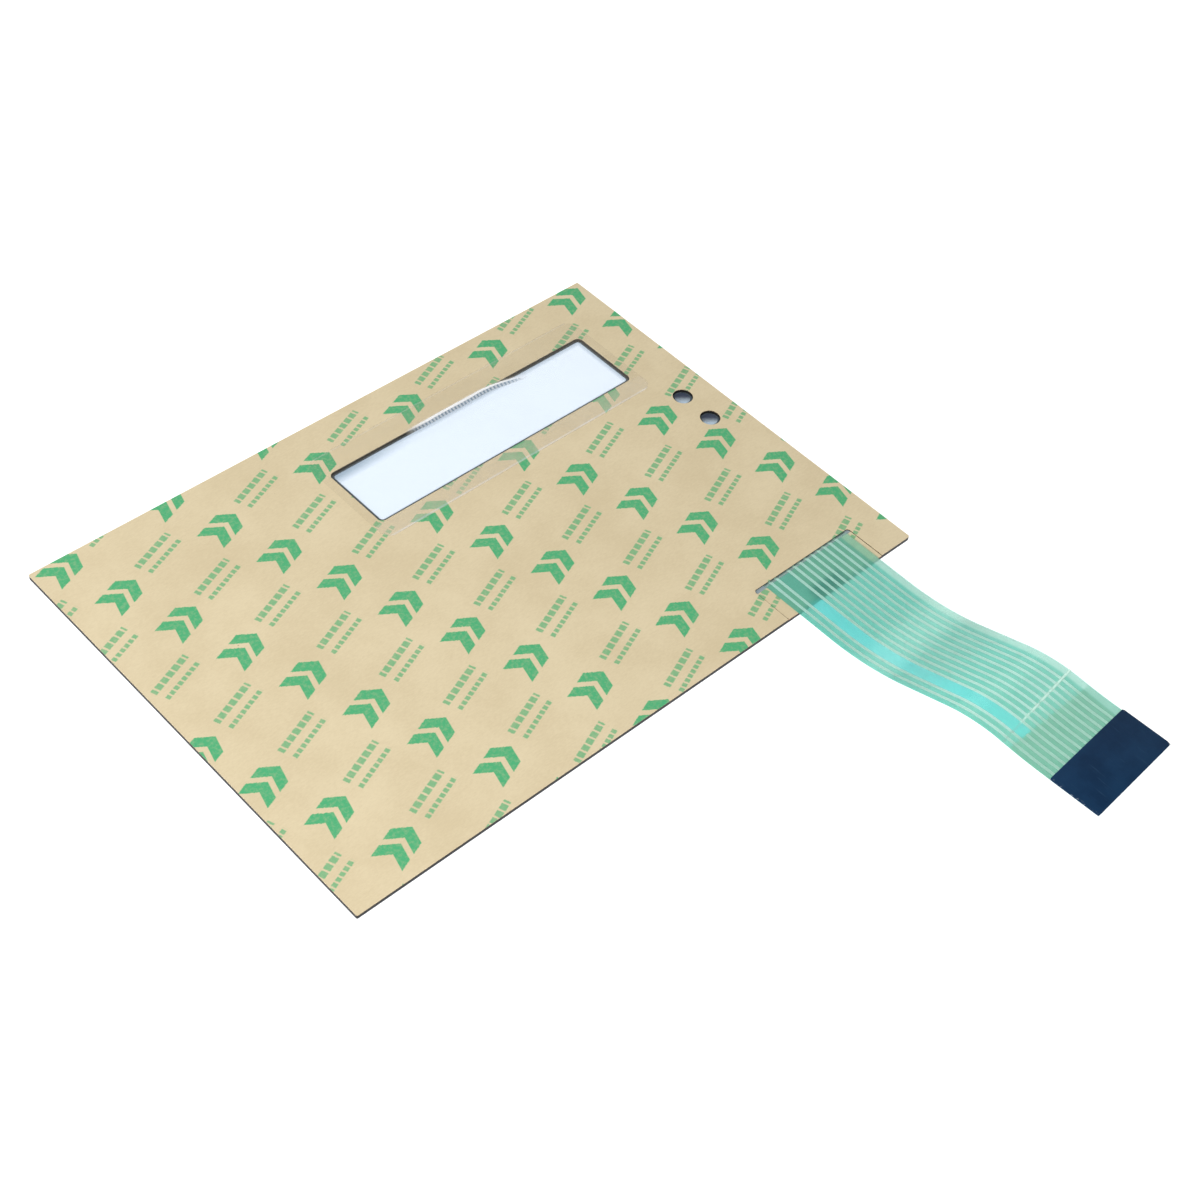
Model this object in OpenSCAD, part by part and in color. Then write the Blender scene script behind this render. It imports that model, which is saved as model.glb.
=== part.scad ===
// Membrane keypad, lying on its front face with its adhesive side up.
// X runs along the panel, Y across it, and the tail leaves towards -Y.
// The origin is the middle of the panel on its front face.

/* [Panel] */
// Length of the panel
panel_w = 210; // [180:1:260]
// Width of the panel
panel_h = 148; // [130:1:200]
// Radius of the panel's corners
corner_r = 0.5; // [0.25:0.25:6]

/* [Layers] */
// Thickness of the clear overlay film
overlay_t = 0.25; // [0.1:0.025:0.4]
// Thickness of the colour printed on the back of the overlay
print_t = 0.02; // [0.01:0.005:0.05]
// Thickness of the adhesive between overlay and circuit
overlay_bond_t = 0.13; // [0.05:0.01:0.2]
// Thickness of each circuit film
film_t = 0.125; // [0.075:0.025:0.2]
// Thickness of the printed silver
silver_t = 0.02; // [0.01:0.005:0.04]
// Thickness of the spacer between the circuit films
spacer_t = 0.55; // [0.12:0.01:0.7]
// Thickness of the rear mounting adhesive
rear_bond_t = 0.22; // [0.05:0.01:0.4]
// Thickness of the release liner
liner_t = 0.15; // [0.08:0.01:0.25]

/* [Display window] */
// Length of the window
window_w = 101.6; // [60:0.2:120]
// Height of the window
window_h = 25.2; // [15:0.2:32]
// Radius of the window's corners
window_r = 2; // [0.5:0.1:4]
// Distance from the window to the panel's +X edge
window_side = 18.1; // [14:0.1:40]
// Distance from the window to the panel's +Y edge
window_top = 20.4; // [12:0.1:30]
// Thickness of the clear film laid over the window
cover_t = 0.06; // [0.03:0.01:0.15]
// Lap of that film beyond the window's ends
cover_lap_x = 3; // [1:0.5:8]
// Lap of that film below the window
cover_lap_low = 6.5; // [2:0.5:10]
// Lap of that film above the window
cover_lap_high = 8; // [2:0.5:12]
// Radius of that film's corners
cover_r = 4; // [0.5:0.5:8]

/* [Lamp holes] */
// Diameter of each lamp hole
lamp_d = 6.5; // [3:0.1:8]
// Distance from the lamp holes to the panel's +X edge
lamp_side = 11; // [8:0.1:14]
// Height of the middle of the pair above the panel's middle
lamp_y = 6.3; // [0:0.1:10]
// Distance between the two lamp holes
lamp_pitch = 12.3; // [10:0.1:16]

/* [Keys] */
// Number of key columns
key_cols = 7; // [2:1:8]
// Number of key rows
key_rows = 4; // [1:1:4]
// Distance between key columns
key_pitch_x = 23; // [16:0.5:24]
// Distance between key rows
key_pitch_y = 16; // [13:0.5:18]
// Width of a printed key field
key_w = 19; // [10:0.5:20]
// Height of a printed key field
key_h = 12; // [8:0.5:13]
// Radius of a key field's corners
key_r = 2; // [0.5:0.25:4]
// Distance from the -X edge of the panel to the first key column
key_side = 17; // [12:0.5:24]
// Diameter of the silver disc at each key
contact_d = 7; // [4:0.5:8]
// Diameter of the spacer's hole at each key
hole_d = 10; // [8.5:0.5:11]
// Width of the air vent between neighbouring holes
vent_w = 1.5; // [0.5:0.1:2.5]
// Distance of the vents from the middle of the row
vent_shift = 3; // [2:0.1:3.5]

/* [Circuit] */
// Width of a printed line inside the panel
line_w = 0.5; // [0.3:0.05:0.7]
// Distance between lines that run side by side inside the panel
line_pitch = 1; // [0.8:0.05:1.1]
// Room between the tail's slit and the lowest line
line_room = 3; // [2:0.25:5]
// Room between the highest line and the lowest row of contacts
contact_room = 1.5; // [1:0.25:4]
// Diameter of a conductive dot that bridges the two films
bridge_d = 1.6; // [1:0.1:1.8]
// Clearance around a bridging dot
bridge_gap = 0.25; // [0.1:0.05:0.3]

/* [Tail] */
// Distance between neighbouring traces
pitch = 2.54; // [1.5:0.01:2.6]
// Width of a trace on the tail
trace_w = 1; // [0.5:0.05:1.2]
// Position, counted from the -X side, that no line reaches
spare = 2; // [0:1:11]
// Distance from the first trace to the tail's -X edge
tail_margin_near = 2.4; // [0.8:0.1:4]
// Distance from the last trace to the tail's +X edge
tail_margin_far = 4.6; // [0.8:0.1:6]
// Distance from the middle of the tail to the panel's +X edge
tail_side = 31.5; // [28:0.5:60]
// Distance from the slit to the panel's -Y edge
slit_edge = 14; // [8:0.5:20]
// Bend radius where the tail comes up through the slit
slit_r = 0.8; // [0.4:0.1:1.5]
// Slope of the tail in the slit
slit_slope = 25; // [20:1:30]
// Clearance around the tail in the slit
slit_gap = 0.15; // [0.05:0.05:0.4]
// Radius of the slit's ends
slit_end_r = 1; // [0.2:0.1:1.2]
// Clearance between the tail and the tab below it
lay_gap = 0.03; // [0.01:0.01:0.2]
// Level length from the slit to the first bend
level_run = 25; // [16:0.1:40]
// Radius of the bend that lifts the tail
lift_r = 83.5; // [30:0.5:120]
// Angle of the bend that lifts the tail
lift_slope = 19.3; // [8:0.1:30]
// Straight length between the two long bends
lift_run = 15.1; // [5:0.1:30]
// Radius of the bend at the crest
crest_r = 49.6; // [20:0.1:100]
// Angle of the bend at the crest
crest_turn = 21.4; // [8:0.1:30]
// Straight length from the crest to the end of the spare position's gap
crest_run = 3.5; // [1:0.1:20]
// Radius of the tail's sideways swing
swing_r = 140; // [80:1:300]
// Angle of the tail's sideways swing
swing_turn = 3.8; // [1:0.1:10]
// Straight length before the stiffener
lead_run = 3.2; // [1:0.1:20]
// Length of the stiffener
stiffener_l = 16; // [8:0.5:25]
// Thickness of the stiffener
stiffener_t = 0.25; // [0.1:0.025:0.4]
// Thickness of the stiffener's adhesive
stiffener_bond_t = 0.05; // [0.03:0.01:0.13]
// Thickness of the insulating coat on the traces
coat_t = 0.03; // [0.02:0.005:0.06]
// Width of film left bare along each edge of the coat
coat_margin = 0.2; // [0.1:0.1:0.8]
// Width of a carbon contact finger
finger_w = 1.6; // [1:0.1:1.8]
// Thickness of the carbon on a contact finger
carbon_t = 0.02; // [0.01:0.005:0.04]

/* [Liner tab] */
// Width of the tab beyond the tail's -X edge
tab_margin_near = 3.7; // [1:0.1:6]
// Width of the tab beyond the tail's +X edge
tab_margin_far = 1.4; // [1:0.1:6]
// Width of the cut along the tab's sides
tab_cut = 0.25; // [0.1:0.05:0.5]

/* [Hidden] */
$fn = 48;

// Largest turn between two stations of a tight bend and of a long one
tight_facet = 6;
long_facet = 2.5;
tight_r = 5;

// Length of tail that lies inside the film, so that the two are one piece
root_lap = 2;

// Front faces of the layers, counted from the front of the keypad
print_z = overlay_t;
overlay_bond_z = print_z + print_t;
front_film_z = overlay_bond_z + overlay_bond_t;
spacer_z = front_film_z + film_t;
rear_film_z = spacer_z + spacer_t;
rear_bond_z = rear_film_z + film_t;
liner_z = rear_bond_z + rear_bond_t;
cover_z = liner_z + liner_t;

// Places on the panel
window_x = panel_w / 2 - window_side - window_w / 2;
window_y = panel_h / 2 - window_top - window_h / 2;
lamp_x = panel_w / 2 - lamp_side;
slit_y = slit_edge - panel_h / 2;
tail_x = panel_w / 2 - tail_side;

// The traces, from -X to +X: the columns, then the rows from the lowest up, with the spare position left free
positions = key_cols + key_rows + 1;
tail_w = tail_margin_near + (positions - 1) * pitch + tail_margin_far;
function trace_at(i) = tail_margin_near + i * pitch - tail_w / 2;
function line_position(k) = k < spare ? k : k + 1;
function column_position(c) = line_position(c);
function row_position(r) = line_position(key_cols + key_rows - 1 - r);

// Places of the lines, contacts and bridges
line_levels = [for (c = [0 : key_cols - 1]) slit_y + line_room + c * line_pitch];
row_y0 = line_levels[key_cols - 1] + contact_room + contact_d / 2;
bridge_y = line_levels[floor(key_cols / 2)];
function key_x(c) = -panel_w / 2 + key_side + c * key_pitch_x;
function key_y(r) = row_y0 + (key_rows - 1 - r) * key_pitch_y;
function position_x(i) = tail_x + trace_at(i);

// The tab under the tail, and the slit that the tail comes up through
tab_x0 = tail_x - tail_w / 2 - tab_margin_near;
tab_x1 = tail_x + tail_w / 2 + tab_margin_far;
slit_rise = rear_bond_t + liner_t + silver_t + coat_t + lay_gap;
slit_ramp = (slit_rise - 2 * slit_r * (1 - cos(slit_slope))) / sin(slit_slope);
slit_run = 2 * slit_r * sin(slit_slope) + slit_ramp * cos(slit_slope);
slit_w = slit_run + slit_gap;

// A station on the tail is its point and its forward, sideways and upward directions
function turned(v, axis, a) = v * cos(a) + cross(axis, v) * sin(a) + axis * (axis * v) * (1 - cos(a));
function facets(r, a) = max(2, ceil(abs(a) / (r < tight_r ? tight_facet : long_facet)));
function arc(st, r, a, axis, inward) =
    let (centre = st[0] + inward * r * sign(a), n = facets(r, a))
    [for (k = [1 : n])
        let (b = a * k / n)
        [
            centre + turned(st[0] - centre, axis, b),
            turned(st[1], axis, b),
            turned(st[2], axis, b),
            turned(st[3], axis, b)
        ]
    ];
function advance(st, step) =
    step[0] == "run" ? [[st[0] + st[1] * step[1], st[1], st[2], st[3]]]
    : step[0] == "bend" ? arc(st, step[1], step[2], -st[2], st[3])
    : arc(st, step[1], step[2], st[3], st[2]);
function last(list) = list[len(list) - 1];
function follow(st, steps, i = 0) =
    i == len(steps) ? [st]
    : let (next = advance(st, steps[i]))
        concat([st], [for (k = [0 : 1 : len(next) - 2]) next[k]], follow(last(next), steps, i + 1));
function joined(a, b) = concat(a, [for (i = [1 : len(b) - 1]) b[i]]);

// The tail's course: up through the slit, over the tab, up to the crest and on to the stiffened end
root_start = [[tail_x, slit_y + root_lap, rear_film_z], [0, -1, 0], [1, 0, 0], [0, 0, 1]];
root_path = follow(root_start, [
    ["run", root_lap],
    ["bend", slit_r, slit_slope],
    ["run", slit_ramp],
    ["bend", slit_r, -slit_slope]
]);
free_path = follow(last(root_path), [
    ["run", level_run],
    ["bend", lift_r, lift_slope],
    ["run", lift_run],
    ["bend", crest_r, -crest_turn],
    ["run", crest_run]
]);
lead_path = follow(last(free_path), [["swing", swing_r, swing_turn], ["run", lead_run]]);
end_path = follow(last(lead_path), [["run", stiffener_l]]);
spare_path = joined(lead_path, end_path);
coat_path = joined(free_path, lead_path);
tail_path = joined(root_path, joined(free_path, spare_path));

// Flat shapes

module rounded(size, r) {
    square([size.x - 2 * r, size.y], center = true);
    square([size.x, size.y - 2 * r], center = true);
    for (x = [-1, 1], y = [-1, 1])
        translate([x * (size.x / 2 - r), y * (size.y / 2 - r)])
            circle(r);
}

module box_between(a, b) {
    translate([min(a.x, b.x), min(a.y, b.y)])
        square([abs(b.x - a.x), abs(b.y - a.y)]);
}

module line_x(x0, x1, y, w) {
    box_between([min(x0, x1) - w / 2, y - w / 2], [max(x0, x1) + w / 2, y + w / 2]);
}

module line_y(x, y0, y1, w) {
    box_between([x - w / 2, y0], [x + w / 2, y1]);
}

module panel_outline() {
    rounded([panel_w, panel_h], corner_r);
}

module openings() {
    translate([window_x, window_y])
        rounded([window_w, window_h], window_r);
    for (side = [-1, 1])
        translate([lamp_x, lamp_y + side * lamp_pitch / 2])
            circle(d = lamp_d);
}

module at_keys() {
    for (c = [0 : key_cols - 1], r = [0 : key_rows - 1])
        translate([key_x(c), key_y(r)])
            children();
}

module at_bridges() {
    for (r = [0 : key_rows - 1])
        translate([position_x(row_position(r)), bridge_y])
            children();
}

module key_fields() {
    at_keys() rounded([key_w, key_h], key_r);
}

// Each row joins its discs and runs down to its bridge
module row_lines() {
    at_keys() circle(d = contact_d);
    at_bridges() circle(d = bridge_d);
    for (r = [0 : key_rows - 1]) {
        end_x = position_x(row_position(r));
        line_x(key_x(0), end_x, key_y(r), line_w);
        line_y(end_x, bridge_y, key_y(r), line_w);
    }
}

// Each column joins its discs and turns along its own level to the tail, and each bridge runs straight to it
module column_lines(lowest_y) {
    at_keys() circle(d = contact_d);
    at_bridges() circle(d = bridge_d);
    for (c = [0 : key_cols - 1]) {
        end_x = position_x(column_position(c));
        line_y(key_x(c), line_levels[c], key_y(0), line_w);
        line_x(key_x(c), end_x, line_levels[c], line_w);
        line_y(end_x, lowest_y, line_levels[c], trace_w);
    }
    for (r = [0 : key_rows - 1])
        line_y(position_x(row_position(r)), lowest_y, bridge_y, trace_w);
}

module vents() {
    for (r = [0 : key_rows - 1])
        line_x(key_x(0), key_x(key_cols - 1), key_y(r) + vent_shift, vent_w);
}

module tail_notch() {
    x0 = tab_x0 - tab_cut;
    x1 = tab_x1 + tab_cut;
    below = -panel_h / 2 - slit_edge;
    box_between([x0, below], [x1, slit_y - slit_end_r]);
    box_between([x0 + slit_end_r, below], [x1 - slit_end_r, slit_y]);
    for (x = [x0 + slit_end_r, x1 - slit_end_r])
        translate([x, slit_y - slit_end_r])
            circle(slit_end_r);
}

module tab_outline() {
    box_between([tab_x0, -panel_h / 2], [tab_x1, slit_y - slit_w]);
}

module rear_sheet_outline() {
    difference() {
        panel_outline();
        openings();
        tail_notch();
    }
}

// A flat layer of the given thickness
module layer(z, t) {
    translate([0, 0, z])
        linear_extrude(t)
            children();
}

// A band that follows the tail, between two sideways places and two heights above the traced face
module band(path, x0, x1, low, high) {
    corners = [[x0, low], [x1, low], [x1, high], [x0, high]];
    points = [for (st = path, c = corners) st[0] + st[2] * c.x + st[3] * c.y];
    sides = [for (i = [0 : len(path) - 2], j = [0 : 3])
        let (a = 4 * i + j, b = 4 * i + (j + 1) % 4)
        [a, a + 4, b + 4, b]
    ];
    tip = 4 * (len(path) - 1);
    polyhedron(points, concat([[0, 1, 2, 3]], sides, [[tip + 3, tip + 2, tip + 1, tip]]));
}

// Sub-parts

module overlay_film() {
    color([0.86, 0.93, 0.98, 0.45])
        layer(0, overlay_t)
            panel_outline();
}

module overlay_print() {
    color([0.20, 0.22, 0.24])
        layer(print_z, print_t)
            difference() {
                panel_outline();
                openings();
                key_fields();
            }
}

module key_print() {
    color([0.74, 0.77, 0.79])
        layer(print_z, print_t)
            key_fields();
}

module overlay_adhesive() {
    color([0.30, 0.31, 0.31])
        layer(overlay_bond_z, overlay_bond_t)
            difference() {
                panel_outline();
                openings();
            }
}

module front_circuit_film() {
    color([0.78, 0.84, 0.84])
        layer(front_film_z, film_t)
            difference() {
                panel_outline();
                openings();
            }
}

module row_silver() {
    color([0.76, 0.76, 0.75])
        layer(spacer_z, silver_t)
            row_lines();
}

module spacer() {
    color([0.22, 0.22, 0.22])
        difference() {
            layer(spacer_z, spacer_t)
                difference() {
                    panel_outline();
                    openings();
                    at_keys() circle(d = hole_d);
                    vents();
                    at_bridges() circle(d = bridge_d + 2 * bridge_gap);
                }
            layer(spacer_z, silver_t)
                row_lines();
            layer(rear_film_z - silver_t, silver_t)
                column_lines(slit_y - slit_w);
        }
}

module bridge_dots() {
    color([0.52, 0.53, 0.54])
        layer(spacer_z + silver_t, spacer_t - 2 * silver_t)
            at_bridges() circle(d = bridge_d);
}

module rear_silver() {
    color([0.80, 0.88, 0.84]) {
        layer(rear_film_z - silver_t, silver_t)
            column_lines(slit_y);
        for (i = [0 : positions - 1])
            band(i == spare ? spare_path : tail_path, trace_at(i) - trace_w / 2, trace_at(i) + trace_w / 2,
                -silver_t, 0);
    }
}

module rear_circuit_film() {
    color([0.55, 0.83, 0.75]) {
        layer(rear_film_z, film_t)
            rear_sheet_outline();
        band(tail_path, -tail_w / 2, tail_w / 2, 0, film_t);
    }
}

module rear_adhesive() {
    color([0.62, 0.56, 0.42])
        layer(rear_bond_z, rear_bond_t)
            rear_sheet_outline();
}

module release_liner() {
    color([0.86, 0.80, 0.64])
        layer(liner_z, liner_t)
            rear_sheet_outline();
}

module tab_adhesive() {
    color([0.62, 0.56, 0.42])
        layer(rear_film_z, rear_bond_t)
            tab_outline();
}

module liner_tab() {
    color([0.86, 0.80, 0.64])
        layer(rear_film_z + rear_bond_t, liner_t)
            tab_outline();
}

module window_film() {
    lift = (cover_lap_high - cover_lap_low) / 2;
    color([0.90, 0.95, 1.0, 0.35])
        layer(cover_z, cover_t)
            translate([window_x, window_y + lift])
                rounded([window_w + 2 * cover_lap_x, window_h + cover_lap_low + cover_lap_high], cover_r);
}

module tail_insulation() {
    edge = tail_w / 2 - coat_margin;
    color([0.36, 0.75, 0.64])
        band(coat_path, -edge, edge, -silver_t - coat_t, -silver_t);
}

module contact_carbon() {
    color([0.10, 0.10, 0.11])
        for (i = [0 : positions - 1])
            band(end_path, trace_at(i) - finger_w / 2, trace_at(i) + finger_w / 2,
                -silver_t - carbon_t, -silver_t);
}

module stiffener_adhesive() {
    color([0.75, 0.80, 0.82])
        band(end_path, -tail_w / 2, tail_w / 2, film_t, film_t + stiffener_bond_t);
}

module tail_stiffener() {
    low = film_t + stiffener_bond_t;
    color([0.10, 0.20, 0.33])
        band(end_path, -tail_w / 2, tail_w / 2, low, low + stiffener_t);
}

overlay_film();
overlay_print();
key_print();
overlay_adhesive();
front_circuit_film();
row_silver();
spacer();
bridge_dots();
rear_silver();
rear_circuit_film();
rear_adhesive();
release_liner();
tab_adhesive();
liner_tab();
window_film();
tail_insulation();
contact_carbon();
stiffener_adhesive();
tail_stiffener();
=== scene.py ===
"""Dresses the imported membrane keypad: printed liner, window film, circuit tail and stiffened end."""

import logging
import math
from collections.abc import Callable, Iterator, Sequence
from contextlib import contextmanager
from dataclasses import dataclass, field
from enum import Enum
from functools import cached_property, partial, reduce

import bmesh
import bpy
from mathutils import Matrix, Vector


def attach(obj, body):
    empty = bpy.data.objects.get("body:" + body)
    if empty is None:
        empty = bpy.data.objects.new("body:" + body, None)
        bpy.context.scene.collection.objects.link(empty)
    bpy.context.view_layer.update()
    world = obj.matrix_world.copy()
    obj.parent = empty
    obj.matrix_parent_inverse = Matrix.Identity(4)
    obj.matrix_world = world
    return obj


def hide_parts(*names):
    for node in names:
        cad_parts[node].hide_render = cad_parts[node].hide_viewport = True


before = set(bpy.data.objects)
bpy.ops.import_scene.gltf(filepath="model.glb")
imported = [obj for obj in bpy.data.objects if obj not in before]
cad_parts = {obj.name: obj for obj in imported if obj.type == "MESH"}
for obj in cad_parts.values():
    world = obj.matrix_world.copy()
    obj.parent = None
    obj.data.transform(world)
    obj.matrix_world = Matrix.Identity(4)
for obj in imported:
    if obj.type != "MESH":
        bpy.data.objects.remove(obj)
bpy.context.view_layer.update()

LOG = logging.getLogger("membrane_keypad")
MM = 0.001
MERGE = 1e-6
HAIR = 0.003
BODY = "root"
WINDOW_CENTRE = (36.1, 41.0)
WINDOW_SIZE = (101.6, 25.2)
COAT_END_Y = -149.9

Colour = tuple[float, float, float]
Pair = tuple[float, float]
Socket = bpy.types.NodeSocket
Value = float | Sequence[float] | Socket
Finish = bpy.types.Material
Piece = bpy.types.Object


class Slot(Enum):
    """The record's material slots, passed to fix with the new pieces but not used."""

    CLEAR_FILM = "clear_film"
    DARK_PRINT = "dark_print"
    CIRCUIT_FILM = "circuit_film"
    SILVER = "silver"
    INSULATION = "insulation"
    STIFFENER = "stiffener"


class Move(Enum):
    """One kind of step along the tail's course."""

    RUN = "straight ahead"
    BEND = "up or down about the sideways axis"
    SWING = "sideways about the upward axis"


def metres(*lengths: float) -> tuple[float, ...]:
    """Turns millimetres into metres."""
    return tuple(length * MM for length in lengths)


def paint(piece: Piece, *finishes: Finish) -> None:
    """Gives a piece its materials.

    Args:
        piece: The piece or solid.
        finishes: Its materials in slot order.
    """
    piece.data.materials.clear()
    for finish in finishes:
        piece.data.materials.append(finish)


def paint_node(node: str, finish: Finish) -> None:
    """Gives a solid of the frame its material."""
    paint(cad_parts[node], finish)
    LOG.info("%s: %s", node, finish.name)


class NodeNet:
    """Builds the node tree of one material or of the surround."""

    def __init__(self, holder: Finish | bpy.types.World) -> None:
        """Starts an empty tree.

        Args:
            holder: The new material or world that it belongs to.
        """
        self.holder = holder
        holder.use_nodes = True
        self.tree = holder.node_tree
        self.tree.nodes.clear()

    @classmethod
    def named(cls, name: str) -> "NodeNet":
        """Starts a new material."""
        return cls(bpy.data.materials.new(name))

    def feed(self, socket: Socket, value: Value) -> None:
        """Links a socket, or sets its own value, with full opacity for a colour.

        Args:
            socket: The input.
            value: An output that feeds it, or a plain value.
        """
        if isinstance(value, Socket):
            self.tree.links.new(value, socket)
        else:
            socket.default_value = (*value, 1.0) if socket.type == "RGBA" else value

    def node(self, kind: str, result: str | int, feeds: dict | None = None, **settings: object) -> Socket:
        """Adds a node.

        Args:
            kind: Blender's name of the node type, without ShaderNode.
            result: The output that is wanted.
            feeds: The values of its inputs, linked or plain.
            settings: Properties of the node.

        Returns:
            That output.
        """
        node = self.tree.nodes.new("ShaderNode" + kind)
        for key, value in settings.items():
            setattr(node, key, value)
        for key, value in (feeds or {}).items():
            self.feed(node.inputs[key], value)
        return node.outputs[result]

    @cached_property
    def place(self) -> Socket:
        """The place on the part, in metres."""
        return self.node("TexCoord", "Object")

    def mapped(self, scale: Sequence[float], turn: float = 0.0) -> Socket:
        """Gives the place scaled on each axis and turned about Z, in radians."""
        feeds = {"Vector": self.place, "Scale": scale, "Rotation": (0.0, 0.0, turn)}
        return self.node("Mapping", "Vector", feeds)

    def parts(self, vector: Socket) -> tuple[Socket, ...]:
        """Splits a vector into its three numbers."""
        return tuple(self.node("SeparateXYZ", "X", {"Vector": vector}).node.outputs)

    def spot(self, turn: float = 0.0) -> tuple[Socket, ...]:
        """Gives the place's three numbers in millimetres, turned about Z, in radians."""
        return self.parts(self.mapped((1 / MM,) * 3, turn))

    def math(self, operation: str, *values: Value) -> Socket:
        """Adds a sum, by Blender's name of it."""
        return self.node("Math", "Value", dict(enumerate(values)), operation=operation)

    def times(self, *values: Value) -> Socket:
        """Multiplies values."""
        return reduce(partial(self.math, "MULTIPLY"), values)

    def most(self, *values: Value) -> Socket:
        """Gives the highest of some values."""
        return reduce(partial(self.math, "MAXIMUM"), values)

    def less(self, value: Value, other: Value) -> Socket:
        """Takes another value from a value."""
        return self.math("SUBTRACT", value, other)

    def off(self, value: Value, middle: float) -> Socket:
        """Gives how far a value is from a middle one."""
        return self.math("ABSOLUTE", self.less(value, middle))

    def ramp(self, value: Socket, low: float, high: float, start: float = 0.0, end: float = 1.0) -> Socket:
        """Goes smoothly from start to end as a value goes from low to high."""
        feeds = {"Value": value, "From Min": low, "From Max": high, "To Min": start, "To Max": end}
        return self.node("MapRange", "Result", feeds, interpolation_type="SMOOTHSTEP")

    def band(self, value: Value, middle: float, half: float, soft: float) -> Socket:
        """Is 1 within half a width of a middle value and 0 outside it, softened to both sides of that edge."""
        return self.ramp(self.off(value, middle), half - soft, half + soft, 1.0, 0.0)

    def noise(self, scale: float, detail: float = 2.0, rough: float = 0.5, place: Socket | None = None) -> Socket:
        """Gives even noise, about 0.5 on average.

        Args:
            scale: Its waves to a unit of the place.
            detail: Its octaves.
            rough: The share of the finer octaves.
            place: Where it is read, if not at the place on the part.

        Returns:
            The noise.
        """
        feeds = {"Vector": place or self.place, "Scale": scale, "Detail": detail, "Roughness": rough}
        return self.node("TexNoise", "Fac", feeds)

    def mix(self, share: Value, first: Value, second: Value) -> Socket:
        """Mixes two colours by the share of the second one, at the node's sockets for colours."""
        return self.node("Mix", 2, {0: share, 6: first, 7: second}, data_type="RGBA")

    def bump(self, height: Socket, depth: float, strength: float) -> Socket:
        """Turns a share of a height into a bent normal, with the depth of a height of 1 in metres."""
        return self.node("Bump", "Normal", {"Distance": depth, "Strength": strength, "Height": height})

    def glance(self, straight: float, grazing: float) -> Socket:
        """Gives a sheen that grows from straight to grazing sight, alike on both sides of a film."""
        return self.ramp(self.node("LayerWeight", "Facing", {"Blend": 0.5}), 0.2, 1.0, straight, grazing)

    def upright(self) -> Socket:
        """Is 1 on faces that stand upright, such as a sheet's cut edges, and 0 on level ones."""
        _, _, lift = self.parts(self.node("NewGeometry", "True Normal"))
        return self.ramp(self.math("ABSOLUTE", lift), 0.4, 0.6, 1.0, 0.0)

    def principled(self, **values: Value) -> Socket:
        """Adds a Principled shader, its inputs named with underscores for spaces."""
        return self.node("BsdfPrincipled", "BSDF", {name.replace("_", " "): v for name, v in values.items()})

    def finished(self, shader: Socket, output: str = "Material") -> Finish | bpy.types.World:
        """Sends a shader to the surface of the material or world, and gives that."""
        self.feed(self.tree.nodes.new("ShaderNodeOutput" + output).inputs["Surface"], shader)
        return self.holder

    def solid(self, **values: Value) -> Finish:
        """Finishes an opaque material from a Principled shader's inputs."""
        return self.finished(self.principled(**values))

    def film(self, share: Value, tint: Value, body: Socket) -> Finish:
        """Finishes a clear material from the share of its body and the tint of what it lets through."""
        through = self.node("BsdfTransparent", "BSDF", {"Color": tint})
        return self.finished(self.node("MixShader", "Shader", {"Fac": share, 1: through, 2: body}))


@dataclass(frozen=True)
class LinerPrint:
    """A generic print of chevrons and dashed rules in half-drop columns, in millimetres."""

    ink: Colour = (0.074, 0.40, 0.175)
    tilt: float = math.radians(-21.0)
    column: float = 36.0
    row: float = 20.0
    chevron_height: float = 9.2
    chevron_bar: float = 4.0
    chevron_places: Pair = (6.0, 12.0)
    chevron_lean: float = 0.72
    rule_ends: Pair = (18.0, 33.5)
    rule_levels: tuple[tuple[float, ...], ...] = ((2.3, 1.05, 2.6, 2.0), (-1.9, 0.75, 1.9, 1.35))
    rule_ink: float = 0.78
    bleed: float = 0.18

    def mask(self, net: NodeNet) -> Socket:
        """Draws the print.

        Args:
            net: The material's tree.

        Returns:
            The share of ink.
        """
        sheet = net.mapped((1 / MM, 1 / MM, 0.0), self.tilt)
        fray = net.times(net.less(net.noise(1.6, 3.0, place=sheet), 0.5), 0.5)
        along, across = (net.math("ADD", value, fray) for value in net.parts(sheet)[:2])
        count = net.math("FLOOR", net.math("DIVIDE", along, self.column))
        u = net.less(along, net.times(count, self.column))
        drop = net.times(net.math("FLOORED_MODULO", count, 2.0), self.row / 2)
        v = net.math("WRAP", net.math("ADD", across, drop), self.row / 2, -self.row / 2)
        lean = net.math("MULTIPLY_ADD", net.math("ABSOLUTE", v), self.chevron_lean, u)
        bars = [net.band(lean, middle, self.chevron_bar / 2, self.bleed) for middle in self.chevron_places]
        chevrons = net.times(net.most(*bars), net.band(v, 0.0, self.chevron_height / 2, self.bleed))
        rules = [
            net.times(
                net.band(v, level, half, self.bleed),
                net.band(net.math("WRAP", u, step / 2, -step / 2), 0.0, dash / 2, self.bleed),
            )
            for level, half, step, dash in self.rule_levels
        ]
        start, end = self.rule_ends
        dashes = net.times(net.most(*rules), net.band(u, (start + end) / 2, (end - start) / 2, self.bleed))
        ink = net.most(chevrons, net.times(dashes, self.rule_ink))
        return net.times(ink, net.ramp(net.noise(0.9, 4.0, 0.6, sheet), 0.25, 0.6, 0.8, 1.0))


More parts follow.
